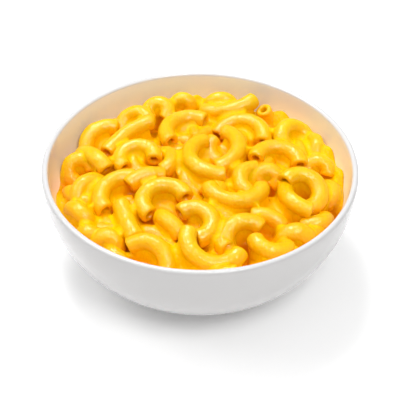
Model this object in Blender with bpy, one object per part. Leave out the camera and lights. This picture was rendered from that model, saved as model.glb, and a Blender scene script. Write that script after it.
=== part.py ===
"""Mac and cheese in its bowl: a turned bowl, and one heap of sauced elbow macaroni that fills it.

Metres, +Z up. The origin is on the table, under the middle of the bowl.
"""

import math

import bpy
from mathutils import Vector

MM = 0.001

# Driving dimensions of the bowl
BOWL_HEIGHT = 59 * MM
RIM_RADIUS = 76 * MM
FOOT_RADIUS = 40 * MM
WALL = 3 * MM
FLOOR_THICKNESS = 6 * MM
FLOOR_RADIUS = 35 * MM
FOOT_RING_WIDTH = 4 * MM
FOOT_RECESS = 1.5 * MM
WALL_EXPONENT = 2.306
BOWL_SEGMENTS = 60
PROFILE_STEPS = 10
LIP_STEPS = 6
LIP_HEIGHT = BOWL_HEIGHT - WALL / 2

# Driving dimensions of the heap
HEAP_EDGE_HEIGHT = 49 * MM
HEAP_RISE = 4.5 * MM
HEAP_RADIUS = 66 * MM
TUBE_RADIUS = 4.4 * MM
SAUCE_DEPTH = 5 * MM
GAP = 0.4 * MM
CORE_RINGS = 4
TUBE_SIDES = 8
ARC_STEPS = 6

# The elbows on top. Each is the start, crown and end of a tube's centre line: x and y in the bowl, and how
# far the tube's back stands above the heap's dome there, all in millimetres.
ELBOWS = (
    # against the wall on the left
    ((-57, 25, -5), (-54, 37, 0), (-45, 41, -1)),
    ((-60, 21, -1), (-55, 16, 2), (-47, 7, 0)),
    ((-62, 7, -8), (-59.5, 13, -1), (-53, 9, -5)),
    ((-60, -10, -5), (-58, -1, 0), (-51, 3, -3)),
    ((-59, -6, -11), (-61, -11, -8), (-58, -15, -12)),
    ((-61, -17, -6), (-57, -22, 1), (-52, -26, -6)),
    # left of the middle
    ((-47, 22, -2), (-38, 35, 1), (-28, 42, 1)),
    ((-38, 8, -1), (-33, 22, 1), (-23, 13, 0)),
    ((-45, -22, -1), (-46, -8, 0), (-33, 0, -1)),
    ((-33, -7, -1), (-27, -3, 0), (-20, -2, -3)),
    ((-18, 20, -3), (-14, 13, -1), (-18, 6, -2)),
    # along the back
    ((-43, 41, -8), (-38.5, 52, 0), (-29, 45, -4)),
    ((-29, 54, -4), (-24, 61, 0), (-19, 52, -3)),
    ((-13, 62, -6), (-10, 64.5, 0), (-7, 61, -6)),
    ((1, 45, 0), (-13.5, 43, 0), (-15.5, 25, -1)),
    ((2, 59, -2), (12, 55, 0), (25, 61, 3)),
    ((4, 62, -6), (10, 64, 2), (16, 61, -6)),
    ((33, 55, 3), (35, 54.5, -2), (36.5, 50.5, -8)),
    # the middle
    ((9, 40, -4), (22, 46, 1), (32.5, 30, 0)),
    ((13, 36, 0), (19.5, 23, 1), (9, 8, -2)),
    ((2, 27.5, 0), (-5, 11, 1), (11, -1, 1)),
    ((7, 32, -3), (5, 26, -5), (9, 19, -7)),
    ((-24, -27, 0), (-21.5, -10.5, 1), (-7, -15.5, 0)),
    # right of the middle
    ((33, 40, -5), (38, 37, -5), (38, 31, -8)),
    ((28, 15, 0), (39, 23, 1), (50, 12, 0)),
    ((31, -2, -9), (34, 5, 0), (43, 4, -4)),
    ((26, 5.5, 0), (17.8, -1, 0), (21.8, -10.4, -2)),
    ((4.6, -9.8, 0), (17.5, -19, 0), (29.7, -8.9, 0)),
    ((48, 0, -5), (40.5, -13, 0), (51.5, -24, 1)),
    ((41, -4, 2), (58, -3, 1), (53, -17, -4)),
    # against the wall on the right
    ((43, 29, -3), (50, 40, 2.5), (54, 36, -3)),
    ((51, 19, -2), (50, 28, -2), (52, 33, -8)),
    ((54, 33, -8), (58.5, 29, -1), (57, 20, -5)),
    ((52, 8, -8), (58, 13, -1), (63, 10, -3)),
    ((62, 2, -6), (65, -4, -3), (62, -9, -7)),
    ((50, -27, -5), (56, -27, -3), (60, -22, -5)),
    ((50, -34, -8), (53, -32, -5), (55, -28, -8)),
    # along the front
    ((39, -40, -8), (45.5, -36.5, 0), (50, -39, -7)),
    ((25.5, -43, 0), (33, -49, 0), (40, -44, -2)),
    ((27, -34, -1), (13, -37, 0), (15, -49, -6)),
    ((26, -26, -2), (32, -27, -1), (38, -30, -3)),
    ((-5, -43, 1), (4, -57, 0), (18, -51, 0)),
    ((0, -43, -1), (4.4, -31, 0), (-8.5, -28.5, -1)),
    ((-18, -28, -2), (-14, -33, 0), (-9, -39, -2)),
    ((-37, -21, 0), (-33, -35, 0), (-32, -48, 0)),
    ((-15, -57, -5), (-19, -47, 0), (-30, -49, -7)),
    ((-52, -35, -6), (-46, -38, 0), (-40, -42, -3)),
    ((-43, -45, -6), (-38, -48, -5), (-33, -52, -8)),
)


def clear_scene():
    for thing in list(bpy.data.objects):
        bpy.data.objects.remove(thing)


def material(name, colour, roughness, metallic=0.0):
    made = bpy.data.materials.new(name)
    made.use_nodes = True
    shader = made.node_tree.nodes["Principled BSDF"]
    shader.inputs["Base Color"].default_value = (*colour, 1.0)
    shader.inputs["Roughness"].default_value = roughness
    shader.inputs["Metallic"].default_value = metallic
    return made


def mesh_object(name, points, faces, finish=None):
    mesh = bpy.data.meshes.new(name)
    mesh.from_pydata(points, [], faces)
    thing = bpy.data.objects.new(name, mesh)
    bpy.context.scene.collection.objects.link(thing)
    if finish:
        mesh.materials.append(finish)
    return thing


def turned(name, profile, segments, finish=None):
    """A closed solid turned about Z from (radius, height) points, the outer side first, top to bottom."""
    points, rings = [], []
    for radius, height in profile:
        if radius == 0:
            rings.append([len(points)] * segments)
            points.append((0, 0, height))
            continue
        rings.append([len(points) + i for i in range(segments)])
        for i in range(segments):
            angle = 2 * math.pi * i / segments
            points.append((radius * math.cos(angle), radius * math.sin(angle), height))
    faces = []
    for upper, lower in zip(rings, rings[1:] + rings[:1]):
        for i in range(segments):
            j = (i + 1) % segments
            corners = [upper[i], lower[i], lower[j], upper[j]]
            corners = list(dict.fromkeys(corners))
            if len(corners) > 2:
                faces.append(corners)
    return mesh_object(name, points, faces, finish)


def side_profile(rim_radius, foot_radius, foot_height):
    """(radius, height) points up a side that is drawn in ever faster from the lip down to its foot."""
    drop = LIP_HEIGHT - foot_height
    full_drop = drop / (1 - (foot_radius / rim_radius) ** 2) ** (1 / WALL_EXPONENT)
    points = []
    for i in range(PROFILE_STEPS + 1):
        below_lip = drop * (1 - i / PROFILE_STEPS)
        radius = rim_radius * math.sqrt(1 - (below_lip / full_drop) ** WALL_EXPONENT)
        points.append((radius, LIP_HEIGHT - below_lip))
    return points


def inside_profile(inset=0.0):
    """The bowl's inside from the middle of its floor up to the lip, or a surface that far inside it."""
    side = side_profile(RIM_RADIUS - WALL, FLOOR_RADIUS, FLOOR_THICKNESS)
    return [(0, FLOOR_THICKNESS + inset)] + [(radius - inset, height + inset) for radius, height in side]


def bowl():
    outer = side_profile(RIM_RADIUS, FOOT_RADIUS, 0)[::-1]
    foot = [
        (FOOT_RADIUS - FOOT_RING_WIDTH, 0),
        (FOOT_RADIUS - FOOT_RING_WIDTH - FOOT_RECESS, FOOT_RECESS),
        (0, FOOT_RECESS),
    ]
    lip = []
    for i in range(1, LIP_STEPS):
        turn = math.pi * i / LIP_STEPS
        radius = RIM_RADIUS - WALL / 2 * (1 + math.cos(turn))
        lip.append((radius, LIP_HEIGHT + WALL / 2 * math.sin(turn)))
    finish = material("white_glaze", (0.86, 0.85, 0.83), 0.12)
    made = turned("bowl", outer + foot + inside_profile() + lip, BOWL_SEGMENTS, finish)
    made.data.shade_smooth()
    made.data.set_sharp_from_angle(angle=math.radians(40))
    return made


def dome_height(x, y):
    """The heap's top: level with its edge at the wall, and a little higher in the middle."""
    out = math.hypot(x, y) / HEAP_RADIUS
    return HEAP_EDGE_HEIGHT + HEAP_RISE * (1 - out * out)


def on_dome(place):
    x, y, lift = (value * MM for value in place)
    return Vector((x, y, dome_height(x, y) - TUBE_RADIUS + lift))


def arc_through(start, crown, end):
    """Centre, bend radius, two unit directions and sweep of the arc from start through crown to end."""
    first = crown - start
    second = end - start
    normal = first.cross(second)
    offset = second.cross(normal) * first.length_squared - first.cross(normal) * second.length_squared
    centre = start + offset / (2 * normal.length_squared)
    along = (start - centre).normalized()
    across = normal.normalized().cross(along)
    sweep = math.atan2((end - centre).dot(across), (end - centre).dot(along)) % (2 * math.pi)
    return centre, (start - centre).length, along, across, sweep


def elbow_tube(number, elbow):
    """A capped tube bent along one arc."""
    centre, bend, along, across, sweep = arc_through(*(on_dome(place) for place in elbow))
    axis = along.cross(across)
    points, faces = [], []
    for i in range(ARC_STEPS + 1):
        angle = sweep * i / ARC_STEPS
        out = along * math.cos(angle) + across * math.sin(angle)
        middle = centre + out * bend
        for k in range(TUBE_SIDES):
            turn = 2 * math.pi * k / TUBE_SIDES
            points.append(middle + TUBE_RADIUS * (out * math.cos(turn) + axis * math.sin(turn)))
    for i in range(ARC_STEPS):
        for k in range(TUBE_SIDES):
            a, b = i * TUBE_SIDES + k, i * TUBE_SIDES + (k + 1) % TUBE_SIDES
            faces.append((a, b, b + TUBE_SIDES, a + TUBE_SIDES))
    last = ARC_STEPS * TUBE_SIDES
    faces.append(tuple(reversed(range(TUBE_SIDES))))
    faces.append(tuple(range(last, last + TUBE_SIDES)))
    return mesh_object(f"elbow_{number:02d}", points, faces)


def heap_core(finish):
    """Sauce and buried pasta: down to the bowl's floor, and up to the sauce between the top elbows."""
    edge_top = HEAP_EDGE_HEIGHT - SAUCE_DEPTH
    underside = [point for point in inside_profile(GAP) if point[1] < edge_top]
    profile = [(underside[-1][0], edge_top)] + underside[::-1]
    for i in range(CORE_RINGS):
        radius = underside[-1][0] * i / CORE_RINGS
        profile.append((radius, dome_height(radius, 0) - SAUCE_DEPTH))
    return turned("macaroni_heap", profile, BOWL_SEGMENTS, finish)


def unite(core, elbows):
    """Makes one solid of the core and the elbows that cross it."""
    group = bpy.data.collections.new("elbows")
    for elbow in elbows:
        group.objects.link(elbow)
        elbow.hide_render = True
        elbow.display_type = "WIRE"
    union = core.modifiers.new("Elbows", "BOOLEAN")
    union.operation = "UNION"
    union.operand_type = "COLLECTION"
    union.collection = group
    union.solver = "EXACT"
    union.use_self = True


def main():
    clear_scene()
    bowl()
    core = heap_core(material("cheese_sauce", (0.95, 0.50, 0.02), 0.35))
    unite(core, [elbow_tube(number, elbow) for number, elbow in enumerate(ELBOWS, 1)])


main()
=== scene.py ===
"""Mac and cheese in its bowl: glazed bowl, elbow macaroni and cheese sauce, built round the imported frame."""

import math

import bmesh
import bpy
import numpy as np
from mathutils import Matrix, Vector
from mathutils.bvhtree import BVHTree


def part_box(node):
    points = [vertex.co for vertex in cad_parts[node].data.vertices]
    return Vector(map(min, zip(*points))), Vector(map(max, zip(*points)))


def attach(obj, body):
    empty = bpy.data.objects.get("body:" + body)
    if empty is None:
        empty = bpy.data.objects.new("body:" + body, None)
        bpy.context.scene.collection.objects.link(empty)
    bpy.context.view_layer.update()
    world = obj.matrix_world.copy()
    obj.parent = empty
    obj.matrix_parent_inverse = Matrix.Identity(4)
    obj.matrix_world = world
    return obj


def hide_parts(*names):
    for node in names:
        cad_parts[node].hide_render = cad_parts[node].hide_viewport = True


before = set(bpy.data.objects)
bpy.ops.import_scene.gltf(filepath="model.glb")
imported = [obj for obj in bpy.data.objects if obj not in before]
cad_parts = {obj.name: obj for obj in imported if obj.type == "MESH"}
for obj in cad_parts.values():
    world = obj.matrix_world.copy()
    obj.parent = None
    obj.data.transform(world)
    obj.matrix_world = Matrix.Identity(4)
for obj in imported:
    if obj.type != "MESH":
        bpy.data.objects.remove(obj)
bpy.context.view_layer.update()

bl_info = {
    "name": "Mac and Cheese Bowl",
    "version": (1, 0, 0),
    "blender": (4, 5, 0),
    "location": "View3D > Sidebar > Mac and Cheese",
    "description": "Builds a white bowl of elbow macaroni in cheese sauce",
    "category": "Object",
}

MM = 0.001

# The frame's bowl gives the driving sizes; what the frame doesn't tell is repeated from its design.
BOWL_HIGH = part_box("bowl")[1]
RIM_RADIUS = BOWL_HIGH.x
BOWL_HEIGHT = BOWL_HIGH.z
FOOT_RADIUS = 40 * MM
WALL = 3 * MM
FLOOR_THICKNESS = 6 * MM
FLOOR_RADIUS = 35 * MM
FOOT_RING_WIDTH = 4 * MM
FOOT_RECESS = 1.5 * MM
WALL_EXPONENT = 2.306
LIP_HEIGHT = BOWL_HEIGHT - WALL / 2

HEAP_EDGE_HEIGHT = 49 * MM
HEAP_RISE = 4.5 * MM
HEAP_RADIUS = 66 * MM

# Steps up the bowl's sides and over its lip, and up the side where its inside is measured
BOWL_SIDE_STEPS = 36
BOWL_LIP_STEPS = 12
MEASURE_STEPS = 40

# The second layer of elbows: how far their backs lie under the dome, how far from the middle they are laid,
# the least and most of their bend radius and sweep, and how much their tilt varies, in radians
SUNKEN_DEPTHS = (4.5 * MM, 7.5 * MM)
SUNKEN_REACH = 62 * MM
SUNKEN_BENDS = (9 * MM, 12 * MM)
SUNKEN_SWEEPS = (math.radians(110), math.radians(180))
SUNKEN_TILT = 0.2

# The least room between a sunken elbow and the bowl's wall, or a place just before another's open end
WALL_CLEARANCE = 1 * MM
MOUTH_CLEARANCE = 0.5 * MM

# Painted shade on a tube, a deeper orange: the share that turning sideways adds, the depth under the dome that
# adds a whole share, and what is taken off the sum
SIDE_SHADE_SHARE = 0.5
TUBE_SHADE_DEPTH = 14 * MM
TUBE_SHADE_START = 0.15

# Painted shade in the hollows of the sauce: it starts at this share of its depth, and is full this much
# further down
SHADE_START = 0.8
SHADE_RANGE = 6 * MM

# The hollow in the sauce before an open end, in tube diameters: how far ahead of the cut its middle is, how
# wide it is and how low it may go. The last number, a plain one, flattens its bottom.
MOUTH_AHEAD = 0.3
MOUTH_WIDTH = 0.55
MOUTH_DEPTH = 0.7
MOUTH_STRENGTH = 1.6

# The sauce's surface: the step of its grid, the number of waves in its unevenness, the size of its lumps,
# the size and strength of the changes in how far it climbs the wall, and how far its edge runs into the wall
GRID_STEP = 0.5 * MM
NOISE_WAVES = 14
LUMP_SPACING = 9 * MM
CLIMB_SPACING = 25 * MM
CLIMB_VARIATION = 0.07775
WALL_BITE = 0.9 * MM

# The elbows on top. Each is the start, crown and end of a tube's centre line: x and y in the bowl, and how
# far the tube's back stands above the heap's dome there, all in millimetres.
ELBOWS = (
    # against the wall on the left
    ((-58.5, 25, -4), (-55, 37, 2), (-45, 41, 1)),
    ((-60, 21, -1), (-55, 16, 2), (-47, 7, 0)),
    ((-63, 7, -7), (-60.5, 15, 0.5), (-54, 12, -4)),
    ((-59, -12, -5), (-56.5, -4, 0), (-50, 0, -3)),
    ((-62, 1, -11), (-64, -4, -8), (-61, -9, -12)),
    ((-61, -19, -6), (-57, -24, 1), (-52, -28, -6)),
    # left of the middle
    ((-47, 22, -1), (-38, 34, 1), (-26.5, 43, 2)),
    ((-38, 8, -1), (-33, 22, 1), (-23, 13, 0)),
    ((-45, -22, -1), (-46, -8, 0), (-33, 0, -1)),
    ((-34, -5, -1), (-27, -0.5, 0), (-19, 1.5, -2)),
    ((-18, 20, -3), (-14, 13, -1), (-18, 6, -2)),
    # along the back
    ((-41, 43, -4), (-34.5, 51.5, 3), (-27.5, 44.5, 1)),
    ((-27, 53, -3), (-23, 60.5, 3), (-18.5, 52.5, -2)),
    ((-12, 61.5, -4), (-9.5, 64, 3.5), (-7.5, 61, -4)),
    ((1.5, 47.5, 0), (-13, 46, 0.5), (-15.5, 28.5, -0.5)),
    ((2, 59, -1), (12, 55, 1), (28, 60.5, 6)),
    ((5, 62, -5), (11, 64, 4), (17, 61, -5)),
    ((34, 55, 3), (36, 54.5, -2), (37.5, 50.5, -8)),
    # the middle
    ((9, 40, -4), (22, 46, 1), (32.5, 30, 0)),
    ((13, 36, 0), (19.5, 23, 1), (9, 8, -2)),
    ((2, 27.5, 0), (-5, 11, 1), (11, -1, 1)),
    ((7, 32, -3), (5, 26, -5), (9, 19, -7)),
    ((-24, -27, 0), (-21.5, -10.5, 1), (-7, -15.5, 0)),
    # right of the middle
    ((33, 40, -5), (38, 37, -5), (38, 31, -8)),
    ((28, 15, 0), (39, 23, 1), (50, 12, 0)),
    ((31.5, -1, -6), (33.5, 4, 0.5), (36, -0.5, -5)),
    ((27, 5.5, 0), (19.8, -1, 0), (23, -10, -2)),
    ((4.6, -9.8, 0), (17.5, -19, 0), (29.7, -8.9, 0)),
    ((48, 0, -5), (41.5, -12.5, 0), (51.5, -23, 1)),
    ((42, -4, 2), (57, -4, 1), (52.5, -17, -3)),
    # against the wall on the right
    ((46, 25, -2), (50.5, 40, 3), (56, 35, -2)),
    ((51, 19, -2), (50, 28, -2), (52, 33, -8)),
    ((55, 35, -7), (59, 32, 1), (58.5, 23, -4)),
    ((56, 9, -7), (60, 14.5, 0.5), (64, 10, -3)),
    ((62, 2, -6), (65, -4, -3), (62, -9, -7)),
    ((50, -27, -5), (56, -27, -3), (60, -22, -5)),
    ((50, -34, -8), (53, -32, -5), (55, -28, -8)),
    # along the front
    ((39, -40, -8), (45.5, -36.5, 0), (50, -39, -7)),
    ((25.5, -43, 0), (33, -49, 0), (40, -44, -2)),
    ((27.5, -33.5, -1), (14, -36.5, 0), (15.5, -48.5, -6)),
    ((26, -26, -2), (32, -27, -1), (38, -30, -3)),
    ((-5, -42, 3.5), (4, -57, 0), (18, -51, 0)),
    ((0, -42, -1), (4.4, -29, 0.5), (-8.5, -26.5, 0)),
    ((-18, -28, -2), (-14, -33, 0), (-9, -39, -2)),
    ((-37, -21, 0), (-34, -31, 0), (-29.5, -41.5, 0)),
    ((-14.5, -58, -5), (-20, -47, 0.5), (-31, -45.5, -1)),
    ((-53, -38, -8), (-50.5, -36.5, -1.5), (-48, -39, -6)),
    ((-46, -42, -7), (-42.5, -40, -1), (-38, -43, -5)),
    ((-43, -45, -6), (-38, -48, -5), (-33, -52, -8)),
)

# Pockets that the sauce leaves between the elbows: x, y, radius and depth in millimetres. Where the depth is
# negative, the sauce is banked up against the wall instead.
POCKETS = (
    (-66, 2, 5, 6), (64, 24, 6, -8), (64, -19, 5, 10), (50, -11.5, 5, 11), (20, -44.5, 5, 9),
    (4.5, -48, 5, 4), (-25, -55, 4, 5), (-54, -36, 4, 4), (-24, -36, 4, 3), (-34, -13, 4, 3),
    (-2, 66, 6, -10), (43, 55, 7, -6.5), (55, 43, 6, -7), (68, 8, 6, -7),
)


# --- geometry shared by the pieces ---

def dome_height(x, y):
    """The heap's top: level with its edge at the wall, and a little higher in the middle."""
    return HEAP_EDGE_HEIGHT + HEAP_RISE * (1 - (x * x + y * y) / HEAP_RADIUS ** 2)


def side_profile(rim_radius, foot_radius, foot_height, steps):
    """(radius, height) points up a side that is drawn in ever faster from the lip down to its foot."""
    drop = LIP_HEIGHT - foot_height
    full_drop = drop / (1 - (foot_radius / rim_radius) ** 2) ** (1 / WALL_EXPONENT)
    points = []
    for i in range(steps + 1):
        below_lip = drop * math.sin(0.5 * math.pi * (1 - i / steps))
        radius = rim_radius * math.sqrt(1 - (below_lip / full_drop) ** WALL_EXPONENT)
        points.append((radius, LIP_HEIGHT - below_lip))
    return points


def inside_radius(height):
    """The radius of the bowl's inside at a height on its side, or at each of an array of heights."""
    side = side_profile(RIM_RADIUS - WALL, FLOOR_RADIUS, FLOOR_THICKNESS, MEASURE_STEPS)
    return np.interp(height, [z for _, z in side], [r for r, _ in side])


def arc_through(start, crown, end):
    """Centre, bend radius, two unit directions and sweep of the arc from start through crown to end."""
    first = crown - start
    second = end - start
    normal = first.cross(second)
    offset = second.cross(normal) * first.length_squared - first.cross(normal) * second.length_squared
    centre = start + offset / (2 * normal.length_squared)
    along = (start - centre).normalized()
    across = normal.normalized().cross(along)
    sweep = math.atan2((end - centre).dot(across), (end - centre).dot(along)) % (2 * math.pi)
    return centre, (start - centre).length, along, across, sweep


def on_turn(along, across, angle):
    """The unit direction at an angle from along towards across."""
    return along * math.cos(angle) + across * math.sin(angle)


def laid_elbows(tube_radius):
    """The arcs of the elbows on top, with each tube's back lifted off the dome as its place says."""
    arcs = []
    for elbow in ELBOWS:
        places = []
        for x, y, lift in elbow:
            height = dome_height(x * MM, y * MM) - tube_radius + lift * MM
            places.append(Vector((x * MM, y * MM, height)))
        arcs.append(arc_through(*places))
    return arcs


def sunken_elbows(settings):
    """The arcs of a second layer, strewn at random and half sunk in the sauce under the first."""
    random = np.random.default_rng(settings.seed)
    tube_radius = settings.tube_diameter / 2
    mouths = [place + outward * tube_radius for place, outward in open_ends(laid_elbows(tube_radius))]
    arcs = []
    while len(arcs) < settings.sunken_count:
        distance = SUNKEN_REACH * math.sqrt(random.uniform())
        place = random.uniform(0, 2 * math.pi)
        x, y = distance * math.cos(place), distance * math.sin(place)
        height = dome_height(x, y) - tube_radius - random.uniform(*SUNKEN_DEPTHS)
        heading = random.uniform(0, 2 * math.pi)
        tilt = random.normal(0, SUNKEN_TILT)
        along = Vector((math.cos(heading), math.sin(heading), math.sin(tilt))).normalized()
        across = Vector((0, 0, 1)).cross(along).normalized()
        bend = random.uniform(*SUNKEN_BENDS)
        sweep = random.uniform(*SUNKEN_SWEEPS)
        centre = Vector((x, y, height)) - bend * on_turn(along, across, sweep / 2)
        path = [centre + bend * on_turn(along, across, sweep * i / 8) for i in range(9)]
        wall_space = inside_radius(height) - max(point.xy.length for point in path) - tube_radius
        mouth_space = min((point - mouth).length for point in path for mouth in mouths) - tube_radius
        inside = wall_space > WALL_CLEARANCE
        clear = mouth_space > MOUTH_CLEARANCE
        if inside and clear:
            arcs.append((centre, bend, along, across, sweep))
    return arcs


def open_ends(arcs):
    """Place and outward direction of each cut end."""
    ends = []
    for centre, bend, along, across, sweep in arcs:
        ends.append((centre + bend * along, -across))
        ends.append((centre + bend * on_turn(along, across, sweep), on_turn(across, -along, sweep)))
    return ends


# --- meshes and materials ---

def new_piece(name, points, faces, finish):
    mesh = bpy.data.meshes.new(name)
    mesh.from_pydata(points, [], faces)
    mesh.materials.append(finish)
    piece = bpy.data.objects.new(name, mesh)
    bpy.context.scene.collection.objects.link(piece)
    return piece


def turned_mesh(name, profile, segments, finish):
    """A closed solid turned about Z from (radius, height) points, the outer side first, top to bottom."""
    points, rings = [], []
    for radius, height in profile:
        if radius == 0:
            rings.append([len(points)] * segments)
            points.append((0, 0, height))
            continue
        rings.append([len(points) + i for i in range(segments)])
        for i in range(segments):
            angle = 2 * math.pi * i / segments
            points.append((radius * math.cos(angle), radius * math.sin(angle), height))
    faces = []
    for upper, lower in zip(rings, rings[1:] + rings[:1]):
        for i in range(segments):
            j = (i + 1) % segments
            corners = list(dict.fromkeys((upper[i], lower[i], lower[j], upper[j])))
            if len(corners) > 2:
                faces.append(corners)
    return new_piece(name, points, faces, finish)


class NodeTree:
    """Short calls for building any node tree."""

    def __init__(self, tree):
        self.tree = tree

    def node(self, kind, **values):
        made = self.tree.nodes.new(kind)
        for name, value in values.items():
            setattr(made, name, value)
        return made

    def feed(self, socket, value):
        """Links another node's output to this input, or sets a plain value on it."""
        if isinstance(value, bpy.types.NodeSocket):
            self.tree.links.new(value, socket)
        else:
            socket.default_value = value

    def maths(self, operation, *values):
        made = self.node("ShaderNodeMath", operation=operation)
        for socket, value in zip(made.inputs, values):
            self.feed(socket, value)
        return made.outputs[0]

    def noise(self, coordinates, scale, detail=2.0):
        made = self.node("ShaderNodeTexNoise")
        for name, value in (("Scale", scale), ("Detail", detail), ("Vector", coordinates)):
            self.feed(made.inputs[name], value)
        return made.outputs[0]


class ShaderTree(NodeTree):
    """Short calls for a material or a shader group."""

    def spread(self, value, low, high, to_low=0.0, to_high=1.0):
        made = self.node("ShaderNodeMapRange", interpolation_type="SMOOTHSTEP")
        for name, number in (("From Min", low), ("From Max", high), ("To Min", to_low), ("To Max", to_high)):
            made.inputs[name].default_value = number
        self.feed(made.inputs["Value"], value)
        return made.outputs["Result"]

    def mix_colour(self, factor, first, second):
        made = self.node("ShaderNodeMix", data_type="RGBA")
        self.feed(made.inputs["Factor"], factor)
        for socket, value in ((made.inputs[6], first), (made.inputs[7], second)):
            self.feed(socket, value if isinstance(value, bpy.types.NodeSocket) else (*value, 1.0))
        return made.outputs[2]

    def attribute(self, name):
        return self.node("ShaderNodeAttribute", attribute_name=name).outputs["Fac"]

    def bump(self, shader, height, strength, distance):
        """Gives the shader a bumped normal."""
        made = self.node("ShaderNodeBump")
        for name, value in (("Strength", strength), ("Distance", distance), ("Height", height)):
            self.feed(made.inputs[name], value)
        self.feed(shader.inputs["Normal"], made.outputs["Normal"])


def new_material(name):
    made = bpy.data.materials.new(name)
    made.use_nodes = True
    graph = ShaderTree(made.node_tree)
    shader = made.node_tree.nodes["Principled BSDF"]
    return made, graph, shader


def sauce_grain_group():
    """Mottling and grain of a cheese sauce: two masks and the height of its curds."""
    found = bpy.data.node_groups.get("Sauce grain")
    if found:
        return found
    tree = bpy.data.node_groups.new("Sauce grain", "ShaderNodeTree")
    for name, default in (("Blotch Size", 7 * MM), ("Grain Size", 1.1 * MM)):
        socket = tree.interface.new_socket(name, in_out="INPUT", socket_type="NodeSocketFloat")
        socket.default_value = default
    for name in ("Blotches", "Grain", "Height"):
        tree.interface.new_socket(name, in_out="OUTPUT", socket_type="NodeSocketFloat")
    graph = ShaderTree(tree)
    entry = graph.node("NodeGroupInput").outputs
    leave = graph.node("NodeGroupOutput").inputs
    place = graph.node("ShaderNodeTexCoord").outputs["Object"]
    lump_size = graph.maths("MULTIPLY", entry["Grain Size"], 2.6)
    blotches = graph.noise(place, graph.maths("DIVIDE", 1.0, entry["Blotch Size"]))
    grain = graph.noise(place, graph.maths("DIVIDE", 1.0, entry["Grain Size"]), 3.0)
    lumps = graph.noise(place, graph.maths("DIVIDE", 1.0, lump_size), 1.0)
    graph.feed(leave["Blotches"], graph.spread(blotches, 0.35, 0.65))
    graph.feed(leave["Grain"], graph.spread(grain, 0.4, 0.65))
    graph.feed(leave["Height"], graph.maths("ADD", graph.maths("MULTIPLY", grain, 0.75), lumps))
    return tree


def cheese_material(name, settings, specular):
    """Wet cheese: a warm yellow with a broken gloss, with painted shade in orange where its shade attribute is
    high.
    """
    made, graph, shader = new_material(name)
    grain = graph.node("ShaderNodeGroup", node_tree=sauce_grain_group()).outputs
    colour = graph.mix_colour(grain["Blotches"], settings.colour, settings.pale_colour)
    colour = graph.mix_colour(graph.attribute("painted_shade"), colour, settings.painted_shade_colour)
    graph.feed(shader.inputs["Base Color"], colour)
    graph.feed(shader.inputs["Roughness"], graph.spread(grain["Grain"], 0.0, 1.0, 0.10, 0.26))
    graph.bump(shader, grain["Height"], 0.85, 0.4 * MM)
    shader.inputs["Subsurface Weight"].default_value = 0.5
    shader.inputs["Subsurface Radius"].default_value = (1.0, 1.0, 0.5)
    shader.inputs["Subsurface Scale"].default_value = 0.9 * MM
    shader.inputs["IOR"].default_value = 1.45
    shader.inputs["Specular IOR Level"].default_value = specular
    return made


def glaze_material(settings):
    """White porcelain glaze with a faint ripple and painted light: warm bounce low inside, white near the lip,
    darker shade outside and on the lip. Bare matt clay on the foot ring.
    """
    made, graph, shader = new_material("white glaze")
    place = graph.node("ShaderNodeTexCoord").outputs["Object"]
    split = graph.node("ShaderNodeSeparateXYZ")
    graph.feed(split.inputs[0], place)
    height = split.outputs["Z"]
    foot = graph.spread(height, 0.5 * MM, 0.9 * MM, 1.0, 0.0)
    # Painted bounce light: the inside glaze is warm low down, near the sauce, and turns to the upper colour at
    # the lip
    upper = graph.spread(height, HEAP_EDGE_HEIGHT - 2 * MM, LIP_HEIGHT)
    cloud = graph.spread(graph.noise(place, 30.0), 0.35, 0.65)
    specks = graph.spread(graph.noise(place, 400.0), 0.3, 0.7, 0.08, 0.14)
    colour = graph.mix_colour(cloud, settings.colour, tuple(0.985 * c for c in settings.colour))
    colour = graph.mix_colour(upper, colour, settings.upper_colour)
    # Painted shade: the outside, and the lip in part, take the darker outside glaze
    colour = graph.mix_colour(graph.attribute("outside"), colour, settings.painted_shade_outside_colour)
    colour = graph.mix_colour(foot, colour, settings.clay_colour)
    graph.feed(shader.inputs["Base Color"], colour)
    graph.feed(shader.inputs["Roughness"], graph.maths("MAXIMUM", specks, graph.maths("MULTIPLY", foot, 0.7)))
    graph.bump(shader, graph.noise(place, 90.0), 0.06, 0.3 * MM)
    return made


# --- the bowl ---

def build_bowl(settings):
    outer = side_profile(RIM_RADIUS, FOOT_RADIUS, 0, BOWL_SIDE_STEPS)[::-1]
    outer[-1] = (FOOT_RADIUS, 0.4 * MM)
    recess_radius = FOOT_RADIUS - FOOT_RING_WIDTH
    foot = [(FOOT_RADIUS - 0.4 * MM, 0), (recess_radius, 0), (recess_radius - 0.5 * MM, 0.3 * MM),
            (recess_radius - FOOT_RECESS, FOOT_RECESS), (0, FOOT_RECESS)]
    inner = [(0, FLOOR_THICKNESS)]
    inner += side_profile(RIM_RADIUS - WALL, FLOOR_RADIUS, FLOOR_THICKNESS, BOWL_SIDE_STEPS)
    half = WALL / 2
    lip = []
    for i in range(1, BOWL_LIP_STEPS):
        turn = math.pi * i / BOWL_LIP_STEPS
        lip.append((RIM_RADIUS - half - half * math.cos(turn), LIP_HEIGHT + half * math.sin(turn)))
    profile = outer + foot + inner + lip
    piece = turned_mesh("glazed_bowl", profile, settings.segments, glaze_material(settings))
    # Painted shade: a whole share of the darker glaze outside, none inside, and 0.6 rising to 1 across the lip
    painted_shade_shares = [1.0] * len(outer + foot) + [0.0] * len(inner) + [0.6 + 0.04 * i for i in range(len(lip))]
    outside = []
    for (radius, _), share in zip(profile, painted_shade_shares):
        outside += [share] * (settings.segments if radius else 1)
    piece.data.attributes.new("outside", "FLOAT", "POINT").data.foreach_set("value", outside)
    piece.data.shade_smooth()
    piece.data.set_sharp_from_angle(angle=math.radians(50))
    return piece


# --- the macaroni ---

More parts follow.
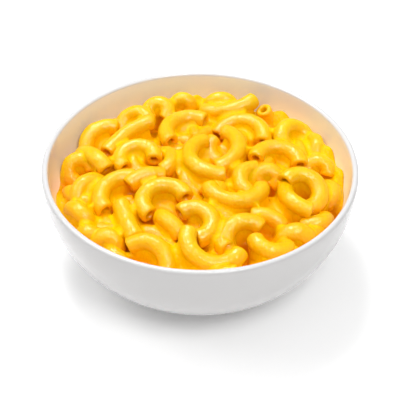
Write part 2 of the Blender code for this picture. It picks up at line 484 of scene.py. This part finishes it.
def tube_template():
    """One hollow tube, closed over its two cut lips, as attributes that say where each point belongs on it:
    station along it, turn round it, wall (0 inside, 1 outside) and how far it swells past the cut."""
    stations, inner_stations, lip_steps, sides = 24, 8, 5, 24
    loop = [(i / stations, 1.0, 0.0) for i in range(stations + 1)]
    for i in range(1, lip_steps + 1):
        turn = math.pi * i / (lip_steps + 1)
        loop.append((1.0, 0.5 + 0.5 * math.cos(turn), math.sin(turn)))
    loop += [(1 - i / inner_stations, 0.0, 0.0) for i in range(inner_stations + 1)]
    for i in range(1, lip_steps + 1):
        turn = math.pi * i / (lip_steps + 1)
        loop.append((0.0, 0.5 - 0.5 * math.cos(turn), -math.sin(turn)))
    faces = []
    for i in range(len(loop)):
        for k in range(sides):
            a, b = i * sides + k, i * sides + (k + 1) % sides
            c, d = (i + 1) % len(loop) * sides + (k + 1) % sides, (i + 1) % len(loop) * sides + k
            faces.append((a, b, c, d))
    mesh = bpy.data.meshes.new("tube template")
    mesh.from_pydata([(station, k, wall) for station, wall, _ in loop for k in range(sides)], [], faces)
    values = {
        "station": [station for station, _, _ in loop for _ in range(sides)],
        "wall": [wall for _, wall, _ in loop for _ in range(sides)],
        "swell": [swell for _, _, swell in loop for _ in range(sides)],
        "turn": [2 * math.pi * k / sides for _ in loop for k in range(sides)],
    }
    for name, numbers in values.items():
        mesh.attributes.new(name, "FLOAT", "POINT").data.foreach_set("value", numbers)
    return bpy.data.objects.new("tube template", mesh)


class GeometryTree(NodeTree):
    """Short calls for a Geometry Nodes tree."""

    def attribute(self, name, kind="FLOAT"):
        made = self.node("GeometryNodeInputNamedAttribute", data_type=kind)
        made.inputs["Name"].default_value = name
        return made.outputs["Attribute"]

    def vector(self, operation, *values):
        made = self.node("ShaderNodeVectorMath", operation=operation)
        for socket, value in zip(made.inputs, values):
            self.feed(socket, value)
        return made.outputs[0]

    def scaled(self, vector, scale):
        made = self.node("ShaderNodeVectorMath", operation="SCALE")
        self.feed(made.inputs[0], vector)
        self.feed(made.inputs["Scale"], scale)
        return made.outputs[0]

    def step(self, kind, geometry, **inputs):
        """A node that passes geometry on, with its other inputs given by name."""
        made = self.node(kind)
        self.feed(made.inputs[0], geometry)
        for name, value in inputs.items():
            self.feed(made.inputs[name], value)
        return made.outputs[0]


def elbow_tree():
    """Geometry Nodes: each point of the mesh carries the arc of one elbow, and becomes a bent hollow tube."""
    tree = bpy.data.node_groups.new("Elbow macaroni", "GeometryNodeTree")
    tree.interface.new_socket("Geometry", in_out="INPUT", socket_type="NodeSocketGeometry")
    for name, kind in (
        ("Template", "NodeSocketObject"), ("Tube Radius", "NodeSocketFloat"), ("Wall", "NodeSocketFloat"),
        ("Size Spread", "NodeSocketFloat"), ("Unevenness", "NodeSocketFloat"),
        ("Lump Size", "NodeSocketFloat"), ("Seed", "NodeSocketInt"), ("Material", "NodeSocketMaterial"),
    ):
        tree.interface.new_socket(name, in_out="INPUT", socket_type=kind)
    tree.interface.new_socket("Geometry", in_out="OUTPUT", socket_type="NodeSocketGeometry")
    graph = GeometryTree(tree)
    entry = graph.node("NodeGroupInput").outputs
    leave = graph.node("NodeGroupOutput")

    size = graph.node("FunctionNodeRandomValue", data_type="FLOAT")
    graph.feed(size.inputs[2], graph.maths("SUBTRACT", 1.0, entry["Size Spread"]))
    graph.feed(size.inputs[3], graph.maths("ADD", 1.0, entry["Size Spread"]))
    graph.feed(size.inputs["Seed"], entry["Seed"])
    sized = graph.step(
        "GeometryNodeStoreNamedAttribute", entry["Geometry"], Name="size", Value=size.outputs[1])
    template = graph.node("GeometryNodeObjectInfo")
    graph.feed(template.inputs["Object"], entry["Template"])
    instances = graph.step("GeometryNodeInstanceOnPoints", sized, Instance=template.outputs["Geometry"])
    realized = graph.step("GeometryNodeRealizeInstances", instances)

    along = graph.attribute("along", "FLOAT_VECTOR")
    across = graph.attribute("across", "FLOAT_VECTOR")
    turn = graph.attribute("turn")
    angle = graph.maths("MULTIPLY", graph.attribute("sweep"), graph.attribute("station"))
    cosine, sine = graph.maths("COSINE", angle), graph.maths("SINE", angle)
    out = graph.vector("ADD", graph.scaled(along, cosine), graph.scaled(across, sine))
    tangent = graph.vector("SUBTRACT", graph.scaled(across, cosine), graph.scaled(along, sine))
    side = graph.vector("CROSS_PRODUCT", along, across)
    radial = graph.vector("ADD", graph.scaled(out, graph.maths("COSINE", turn)),
                          graph.scaled(side, graph.maths("SINE", turn)))
    centre = graph.attribute("centre", "FLOAT_VECTOR")
    middle = graph.vector("ADD", centre, graph.scaled(out, graph.attribute("bend")))
    hole = graph.maths("SUBTRACT", entry["Tube Radius"], entry["Wall"])
    skin = graph.maths("MULTIPLY_ADD", graph.attribute("wall"), entry["Wall"], hole)
    radius = graph.maths("MULTIPLY", graph.attribute("size"), skin)
    place = graph.vector("ADD", middle, graph.scaled(radial, radius))
    swell = graph.maths("MULTIPLY", graph.attribute("swell"), graph.maths("MULTIPLY", entry["Wall"], 0.5))
    place = graph.vector("ADD", place, graph.scaled(tangent, swell))
    lumps = graph.noise(place, graph.maths("DIVIDE", 1.0, entry["Lump Size"]), 1.0)
    rise = graph.maths("MULTIPLY", graph.maths("SUBTRACT", lumps, 0.5),
                       graph.maths("MULTIPLY", entry["Unevenness"], 2.0))
    place = graph.vector("ADD", place, graph.scaled(radial, rise))

    moved = graph.step("GeometryNodeSetPosition", realized, Position=place)
    smooth = graph.step("GeometryNodeSetShadeSmooth", moved)
    finished = graph.step("GeometryNodeSetMaterial", smooth, Material=entry["Material"])
    graph.feed(leave.inputs["Geometry"], finished)
    return tree


def arc_cloud(name, arcs):
    """A mesh of one point for each arc, which carries the arc in its attributes."""
    mesh = bpy.data.meshes.new(name)
    mesh.from_pydata([tuple(arc[0]) for arc in arcs], [], [])
    for column, label in ((0, "centre"), (2, "along"), (3, "across")):
        numbers = [value for arc in arcs for value in arc[column]]
        mesh.attributes.new(label, "FLOAT_VECTOR", "POINT").data.foreach_set("vector", numbers)
    for column, label in ((1, "bend"), (4, "sweep")):
        mesh.attributes.new(label, "FLOAT", "POINT").data.foreach_set("value", [arc[column] for arc in arcs])
    cloud = bpy.data.objects.new(name, mesh)
    bpy.context.scene.collection.objects.link(cloud)
    return cloud


def set_input(modifier, tree, name, value):
    """Sets a modifier's input by its socket's identifier."""
    for item in tree.interface.items_tree:
        if item.item_type == "SOCKET" and item.in_out == "INPUT" and item.name == name:
            modifier[item.identifier] = value
            return
    raise KeyError(name)


def build_macaroni(settings):
    arcs = laid_elbows(settings.tube_diameter / 2) + sunken_elbows(settings)
    cloud = arc_cloud("elbow arcs", arcs)
    template = tube_template()
    bpy.context.scene.collection.objects.link(template)
    tree = elbow_tree()
    modifier = cloud.modifiers.new("Elbow macaroni", "NODES")
    modifier.node_group = tree
    for name, value in (
        ("Template", template), ("Tube Radius", settings.tube_diameter / 2), ("Wall", settings.wall),
        ("Size Spread", settings.size_spread), ("Unevenness", settings.unevenness),
        ("Lump Size", settings.lump_size), ("Seed", settings.seed),
        ("Material", cheese_material("cheese on macaroni", settings, 0.6)),
    ):
        set_input(modifier, tree, name, value)
    graph = bpy.context.evaluated_depsgraph_get()
    mesh = bpy.data.meshes.new_from_object(cloud.evaluated_get(graph), depsgraph=graph)
    mesh.name = "macaroni"
    places = np.array([vertex.co for vertex in mesh.vertices])
    upward = np.array([vertex.normal.z for vertex in mesh.vertices])
    # Painted shade: the tubes' sides, undersides and low parts turn a deeper orange
    below = dome_height(places[:, 0], places[:, 1]) - places[:, 2]
    sideways = SIDE_SHADE_SHARE * np.clip(1 - upward, 0, 1)
    painted_shade = np.clip(sideways + below / TUBE_SHADE_DEPTH - TUBE_SHADE_START, 0, 1)
    mesh.attributes.new("painted_shade", "FLOAT", "POINT").data.foreach_set("value", painted_shade)
    for helper in (cloud, template):
        bpy.data.objects.remove(helper)
    piece = bpy.data.objects.new("macaroni", mesh)
    bpy.context.scene.collection.objects.link(piece)
    return piece


# --- the sauce ---

def ball_offsets(radius):
    reach = int(radius / GRID_STEP)
    offsets = []
    for i in range(-reach, reach + 1):
        for j in range(-reach, reach + 1):
            rise = radius * radius - (i * i + j * j) * GRID_STEP ** 2
            if rise >= 0:
                offsets.append((i, j, math.sqrt(rise)))
    return offsets


def filleted(field, radius):
    """The height field with its hollows filled as far as a ball of this radius can't reach in."""
    offsets = ball_offsets(radius)
    raised = np.full_like(field, -1.0)
    for i, j, rise in offsets:
        np.maximum(raised, np.roll(field, (i, j), (0, 1)) + rise, out=raised)
    lowered = np.full_like(field, 1.0)
    for i, j, rise in offsets:
        np.minimum(lowered, np.roll(raised, (-i, -j), (0, 1)) - rise, out=lowered)
    return lowered


def tube_backs(macaroni, trim):
    """The outside of the tubes, without a stretch this long at each cut end, to cast rays at."""
    mesh = macaroni.data
    numbers = {}
    for name in ("station", "wall", "sweep", "bend"):
        numbers[name] = np.empty(len(mesh.vertices), dtype=np.float32)
        mesh.attributes[name].data.foreach_get("value", numbers[name])
    from_end = np.minimum(numbers["station"], 1 - numbers["station"]) * numbers["sweep"] * numbers["bend"]
    wanted = (numbers["wall"] > 0.99) & (from_end >= trim)
    faces = [tuple(face.vertices) for face in mesh.polygons if wanted[list(face.vertices)].all()]
    return BVHTree.FromPolygons([vertex.co for vertex in mesh.vertices], faces)


def backs_height(backs, xs):
    """The height of the tubes' backs over the grid, and far below it where there is no tube."""
    field = np.full((len(xs), len(xs)), -1.0)
    down = Vector((0, 0, -1))
    for i, x in enumerate(xs):
        for j, y in enumerate(xs):
            if x * x + y * y < RIM_RADIUS ** 2:
                hit = backs.ray_cast(Vector((x, y, 2 * BOWL_HEIGHT)), down)[0]
                if hit:
                    field[i, j] = hit.z
    return field


def smooth_noise(xs, size, random):
    """Smooth random height over the grid, mostly between -1 and 1, with lumps of about this size."""
    total = np.zeros((len(xs), len(xs)))
    for _ in range(NOISE_WAVES):
        direction = random.uniform(0, 2 * math.pi)
        wavelength = size * random.uniform(0.8, 2.2)
        phase = random.uniform(0, 2 * math.pi)
        distance = xs[:, None] * math.cos(direction) + xs[None, :] * math.sin(direction)
        total += np.sin(2 * math.pi * distance / wavelength + phase)
    return total / math.sqrt(NOISE_WAVES)


def blurred(field, passes):
    for _ in range(passes):
        for axis in (0, 1):
            field = 0.25 * np.roll(field, 1, axis) + 0.5 * field + 0.25 * np.roll(field, -1, axis)
    return field


def sauce_level(settings, tubes, xs, random):
    """How high the sauce stands by itself: uneven, with its pockets and a dip before each open end."""
    x, y = xs[:, None], xs[None, :]
    waves = settings.waviness * smooth_noise(xs, LUMP_SPACING, random)
    level = dome_height(x, y) - settings.depth + waves
    for px, py, radius, depth in POCKETS:
        away = ((x - px * MM) ** 2 + (y - py * MM) ** 2) / (radius * MM) ** 2
        level = level - depth * MM * np.exp(-away)
    diameter = tubes.tube_diameter
    for place, outward in open_ends(laid_elbows(diameter / 2)):
        mouth = place + outward * MOUTH_AHEAD * diameter
        away = ((x - mouth.x) ** 2 + (y - mouth.y) ** 2) / (MOUTH_WIDTH * diameter) ** 2
        dip = np.clip(level - (place.z - MOUTH_DEPTH * diameter), 0, settings.mouth_dip)
        level = level - dip * np.minimum(1, MOUTH_STRENGTH * np.exp(-away))
    return level


def sauce_surface(settings, tubes, macaroni):
    """Grid line places, and the sauce's height and its depth under the dome at their crossings."""
    reach = RIM_RADIUS + 2 * MM
    xs = np.arange(-reach, reach, GRID_STEP)
    x, y = xs[:, None], xs[None, :]
    random = np.random.default_rng(settings.seed)
    level = sauce_level(settings, tubes, xs, random)
    backs = backs_height(tube_backs(macaroni, settings.clear_ends), xs)
    field = np.maximum(level, backs - settings.cling)
    surface = filleted(field, settings.fillet)
    beyond_wall = x * x + y * y > inside_radius(surface) ** 2
    walled = np.where(beyond_wall, BOWL_HEIGHT, field)
    climb = 0.5 + CLIMB_VARIATION * smooth_noise(xs, CLIMB_SPACING, random)
    highest = surface + settings.climb * np.clip(climb, 0.1, 1.5)
    meniscus = np.minimum(filleted(walled, settings.wall_fillet), highest)
    surface = blurred(np.where(beyond_wall, surface, np.maximum(surface, meniscus)), 1)
    return xs, surface, dome_height(x, y) - surface


def build_sauce(settings, tubes, macaroni):
    xs, surface, depth = sauce_surface(settings, tubes, macaroni)
    x, y = np.meshgrid(xs, xs, indexing="ij")
    edge = inside_radius(surface) + WALL_BITE
    kept = x * x + y * y < edge * edge
    number = np.full(kept.shape, -1)
    number[kept] = np.arange(kept.sum())
    points = np.stack([x[kept], y[kept], surface[kept]], axis=1)
    corners = np.stack([number[:-1, :-1], number[1:, :-1], number[1:, 1:], number[:-1, 1:]], axis=-1)
    corners = corners.reshape(-1, 4)
    corners = corners[(corners >= 0).all(axis=1)]
    finish = cheese_material("cheese sauce", settings, 0.15)
    piece = new_piece("cheese_sauce", points, corners.tolist(), finish)
    # Painted shade: the sauce turns a darker orange the deeper it lies under the dome
    painted_shade = np.clip((depth[kept] - settings.depth * SHADE_START) / SHADE_RANGE, 0, 1)
    piece.data.attributes.new("painted_shade", "FLOAT", "POINT").data.foreach_set("value", painted_shade)
    close_under(piece.data)
    piece.data.shade_smooth()
    return piece


def close_under(mesh):
    """Carries the sauce's edge down the inside of the bowl in rings, and shuts it on the bowl's floor."""
    shape = bmesh.new()
    shape.from_mesh(mesh)
    loose = [vertex for vertex in shape.verts if not vertex.link_faces]
    bmesh.ops.delete(shape, geom=loose, context="VERTS")
    rings = 7
    gap = 0.4 * MM
    low = FLOOR_THICKNESS + 0.3 * MM
    top = HEAP_EDGE_HEIGHT - 10 * MM
    for i in range(rings):
        height = low + (top - low) * (1 - i / (rings - 1))
        radius = inside_radius(height) - gap
        rim = [edge for edge in shape.edges if edge.is_boundary]
        made = bmesh.ops.extrude_edge_only(shape, edges=rim)
        for vertex in (item for item in made["geom"] if isinstance(item, bmesh.types.BMVert)):
            flat = vertex.co.xy.normalized() * radius
            vertex.co = Vector((flat.x, flat.y, height))
    bmesh.ops.holes_fill(shape, edges=[edge for edge in shape.edges if edge.is_boundary], sides=0)
    bmesh.ops.recalc_face_normals(shape, faces=shape.faces)
    shape.to_mesh(mesh)
    shape.free()


# --- the stage ---

def pale_material(name, colour, roughness, glow):
    made, _, shader = new_material(name)
    shader.inputs["Base Color"].default_value = (*colour, 1.0)
    shader.inputs["Roughness"].default_value = roughness
    shader.inputs["Specular IOR Level"].default_value = 0.2
    shader.inputs["Emission Color"].default_value = (*colour, 1.0)
    shader.inputs["Emission Strength"].default_value = glow
    return made


def add_area_light(name, place, target, power, size):
    lamp = bpy.data.lights.new(name, "AREA")
    lamp.energy = power
    lamp.shape = "DISK"
    lamp.size = size
    thing = bpy.data.objects.new(name, lamp)
    thing.location = place
    thing.rotation_euler = (Vector(place) - Vector(target)).to_track_quat("Z", "Y").to_euler()
    bpy.context.scene.collection.objects.link(thing)


def add_camera(settings):
    camera = bpy.data.cameras.new("camera")
    camera.lens = settings.lens
    camera.sensor_width = 36.0
    camera.clip_start = 0.01
    thing = bpy.data.objects.new("camera", camera)
    back = Vector((0, -math.cos(settings.elevation), math.sin(settings.elevation)))
    right = Vector((1, 0, 0))
    up = back.cross(right)
    across = right * math.cos(settings.roll) + up * math.sin(settings.roll)
    turned = Matrix((across, back.cross(across), back)).transposed().to_4x4()
    aim = Vector((0.1 * MM, 0, 0.55 * BOWL_HEIGHT))
    place = aim + back * settings.distance
    thing.matrix_world = Matrix.Translation(place) @ turned
    bpy.context.scene.collection.objects.link(thing)
    bpy.context.scene.camera = thing


def build_stage(settings):
    far = 4.0
    corners = [(-far, -far, 0), (far, -far, 0), (far, far, 0), (-far, far, 0)]
    finish = pale_material("pale floor", (0.99, 0.99, 0.99), 0.6, 0.12)
    floor = new_piece("floor", corners, [(0, 1, 2, 3)], finish)
    for name, place, power, size in (
        ("key", (-0.62, 0.05, 0.72), settings.key_power, 0.5),
        ("front fill", (0.25, -0.45, 0.85), settings.fill_power, 0.4),
        ("overhead panel", (0, 0, 1.3), settings.panel_power, 2.4),
        ("sparkle", (-0.15, 0.35, 0.80), settings.sparkle_power, 0.35),
    ):
        add_area_light(name, place, (0, 0, BOWL_HEIGHT), power, size)
    world = bpy.data.worlds.new("studio")
    world.use_nodes = True
    world.node_tree.nodes["Background"].inputs["Color"].default_value = (1.0, 1.0, 1.0, 1.0)
    world.node_tree.nodes["Background"].inputs["Strength"].default_value = settings.sky
    bpy.context.scene.world = world
    bpy.context.scene.view_settings.view_transform = "Standard"
    add_camera(settings)


# --- settings ---

def colour_property(name, description, default):
    return bpy.props.FloatVectorProperty(
        name=name, description=description, default=default, subtype="COLOR", size=3, min=0.0, max=1.0)


def length_property(name, description, default):
    return bpy.props.FloatProperty(
        name=name, description=description, default=default, subtype="DISTANCE", unit="LENGTH", precision=5)


def power_property(name, description, default):
    return bpy.props.FloatProperty(name=name, description=description, default=default, unit="POWER")


def angle_property(name, description, default):
    return bpy.props.FloatProperty(name=name, description=description, default=default, subtype="ANGLE")


class MAC_PG_bowl(bpy.types.PropertyGroup):
    segments: bpy.props.IntProperty(name="Segments", description="Faces round the bowl", default=192, min=24)
    # Painted bounce light: the inside glaze is tinted warm as if lit by the sauce, and fades to the upper
    # colour near the lip
    colour: colour_property("Glaze", "Colour of the white glaze inside", (0.93, 0.885, 0.77))
    upper_colour: colour_property(
        "Upper glaze", "Colour of the glaze inside, near the lip", (0.94, 0.96, 0.99))
    # Painted shade: the same glaze, darkened for the outside, which faces away from the lights
    painted_shade_outside_colour: colour_property("Shaded outside glaze", "Colour of the glaze outside", (0.645, 0.635, 0.63))
    clay_colour: colour_property("Clay", "Colour of the bare clay on the foot ring", (0.62, 0.56, 0.48))


class MAC_PG_macaroni(bpy.types.PropertyGroup):
    tube_diameter: length_property("Tube diameter", "Thickness of a sauced macaroni tube", 8.8 * MM)
    wall: length_property("Wall", "Thickness of the pasta with its sauce", 2.7 * MM)
    unevenness: length_property("Unevenness", "How far the tubes swell and dent", 0.35 * MM)
    lump_size: length_property("Lump size", "Size of the swellings", 6 * MM)
    size_spread: bpy.props.FloatProperty(
        name="Size spread", description="How much tubes differ in thickness", default=0.04, subtype="FACTOR")
    sunken_count: bpy.props.IntProperty(
        name="Sunken elbows", description="Elbows of the layer under the top one", default=30, min=0)
    seed: bpy.props.IntProperty(name="Seed", description="Seed of everything random", default=5)
    colour: colour_property("Cheese", "Main colour of the sauced pasta", (0.90, 0.55, 0.0))
    pale_colour: colour_property("Pale cheese", "Colour of the paler blotches", (0.90, 0.60, 0.003))
    # Painted shade: the deeper orange for the tubes' sides, undersides and low parts
    painted_shade_colour: colour_property(
        "Shaded cheese", "Colour of the tubes' sides and undersides", (0.97, 0.41, 0.0))


class MAC_PG_sauce(bpy.types.PropertyGroup):
    depth: length_property("Depth", "How far the sauce lies below the heap's top", 8.0 * MM)
    fillet: length_property("Fillet", "Radius of the sauce in the corners between tubes", 2.4 * MM)
    wall_fillet: length_property("Wall fillet", "Radius of the sauce where it meets the bowl", 1.6 * MM)
    climb: length_property("Climb", "How far the sauce climbs the bowl", 1.2 * MM)
    mouth_dip: length_property("Mouth dip", "How far the sauce dips before a tube's open end", 4 * MM)
    cling: length_property("Cling", "How far inside the tubes' skin the sauce hugs them", 0.05 * MM)
    clear_ends: length_property("Clear ends", "Stretch at each cut end that the sauce leaves bare", 2.2 * MM)
    waviness: length_property("Waviness", "Height of the sauce's own lumps", 0.07775 * MM)
    seed: bpy.props.IntProperty(name="Seed", description="Seed of the sauce's lumps", default=3)
    colour: colour_property("Sauce", "Main colour of the sauce", (0.91, 0.50, 0.0))
    pale_colour: colour_property("Pale sauce", "Colour of the paler blotches", (0.91, 0.56, 0.001))
    # Painted shade: the darker orange of the sauce in the hollows
    painted_shade_colour: colour_property("Shaded sauce", "Colour of the sauce deep in the heap", (0.82, 0.29, 0.0))


class MAC_PG_stage(bpy.types.PropertyGroup):
    elevation: angle_property("Elevation", "Camera's height angle", math.radians(41.8))
    roll: angle_property("Roll", "Camera's tilt to the side", math.radians(0.5))
    distance: length_property("Distance", "Camera's distance from the bowl's middle", 0.45)
    lens: bpy.props.FloatProperty(name="Lens", description="Focal length in millimetres", default=80.7)
    key_power: power_property("Key", "Power of the key light on the left", 1.8)
    fill_power: power_property("Fill", "Power of the front light", 3.3)
    panel_power: power_property("Panel", "Power of the panel overhead", 10.5)
    sparkle_power: power_property("Sparkle", "Power of the small light behind the bowl", 3.8)
    sky: bpy.props.FloatProperty(name="Sky", description="Strength of the light from all round", default=0.16)


# --- operators ---

class MAC_OT_bowl(bpy.types.Operator):
    """Build the glazed bowl"""
    bl_idname = "mac.bowl"
    bl_label = "Bowl"

    def execute(self, context):
        piece = build_bowl(context.scene.mac_bowl)
        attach(piece, "root")
        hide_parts("bowl")
        return {"FINISHED"}


class MAC_OT_macaroni(bpy.types.Operator):
    """Lay the elbow macaroni in the bowl"""
    bl_idname = "mac.macaroni"
    bl_label = "Macaroni"

    def execute(self, context):
        piece = build_macaroni(context.scene.mac_macaroni)
        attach(piece, "root")
        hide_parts("macaroni_heap")
        return {"FINISHED"}


class MAC_OT_sauce(bpy.types.Operator):
    """Pour the cheese sauce between the elbows"""
    bl_idname = "mac.sauce"
    bl_label = "Cheese sauce"

    def execute(self, context):
        piece = build_sauce(context.scene.mac_sauce, context.scene.mac_macaroni, bpy.data.objects["macaroni"])
        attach(piece, "root")
        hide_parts("macaroni_heap")
        return {"FINISHED"}


class MAC_OT_stage(bpy.types.Operator):
    """Set up the floor, the lights and the camera"""
    bl_idname = "mac.stage"
    bl_label = "Stage"

    def execute(self, context):
        build_stage(context.scene.mac_stage)
        return {"FINISHED"}


class MAC_PT_panel(bpy.types.Panel):
    bl_idname = "MAC_PT_panel"
    bl_label = "Mac and Cheese"
    bl_space_type = "VIEW_3D"
    bl_region_type = "UI"
    bl_category = "Mac and Cheese"

    def draw(self, context):
        for operator, pointer in OPERATORS:
            box = self.layout.box()
            box.operator(operator.bl_idname)
            settings = getattr(context.scene, pointer)
            for name in settings.bl_rna.properties.keys():
                if name not in ("rna_type", "name"):
                    box.prop(settings, name)


GROUPS = {"mac_bowl": MAC_PG_bowl, "mac_macaroni": MAC_PG_macaroni, "mac_sauce": MAC_PG_sauce,
          "mac_stage": MAC_PG_stage}
OPERATORS = ((MAC_OT_bowl, "mac_bowl"), (MAC_OT_macaroni, "mac_macaroni"), (MAC_OT_sauce, "mac_sauce"),
             (MAC_OT_stage, "mac_stage"))
CLASSES = (*GROUPS.values(), *(operator for operator, _ in OPERATORS), MAC_PT_panel)


def register():
    for kind in CLASSES:
        bpy.utils.register_class(kind)
    for name, group in GROUPS.items():
        setattr(bpy.types.Scene, name, bpy.props.PointerProperty(type=group))


def unregister():
    for name in GROUPS:
        delattr(bpy.types.Scene, name)
    for kind in reversed(CLASSES):
        bpy.utils.unregister_class(kind)


def main():
    register()
    bpy.ops.mac.bowl()
    bpy.ops.mac.macaroni()
    bpy.ops.mac.sauce()
    bpy.ops.mac.stage()


if __name__ == "__main__":
    main()
